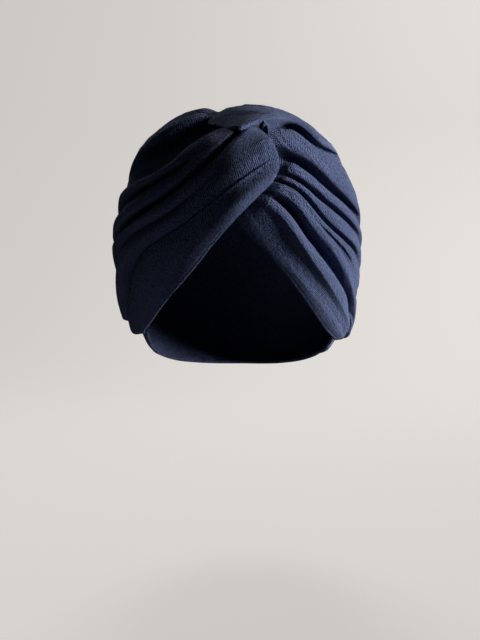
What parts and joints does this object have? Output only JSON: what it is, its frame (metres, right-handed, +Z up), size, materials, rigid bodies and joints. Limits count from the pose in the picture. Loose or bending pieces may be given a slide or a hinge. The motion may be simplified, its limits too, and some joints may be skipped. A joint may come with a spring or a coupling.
{
  "type": "twist-front turban",
  "caption": "Soft pull-on turban whose two pleated halves cross in a twist at the brow and join a plain back panel that closes the crown and nape.",
  "frame": {"origin": "top of the hollow, inside the crown, where the turban bears on the head", "axes": "+Z up out of the crown, -Y to the front where the twist is, +X to the right as seen from the front"},
  "size_m": [0.1655, 0.2022, 0.1776],
  "materials": {
    "velour": "deep navy velour with a soft pile and a fine rib"
  },
  "bodies": {
    "root": {"wrap_left": "velour", "wrap_right": "velour", "back_panel": "velour"}
  },
  "joints": []
}
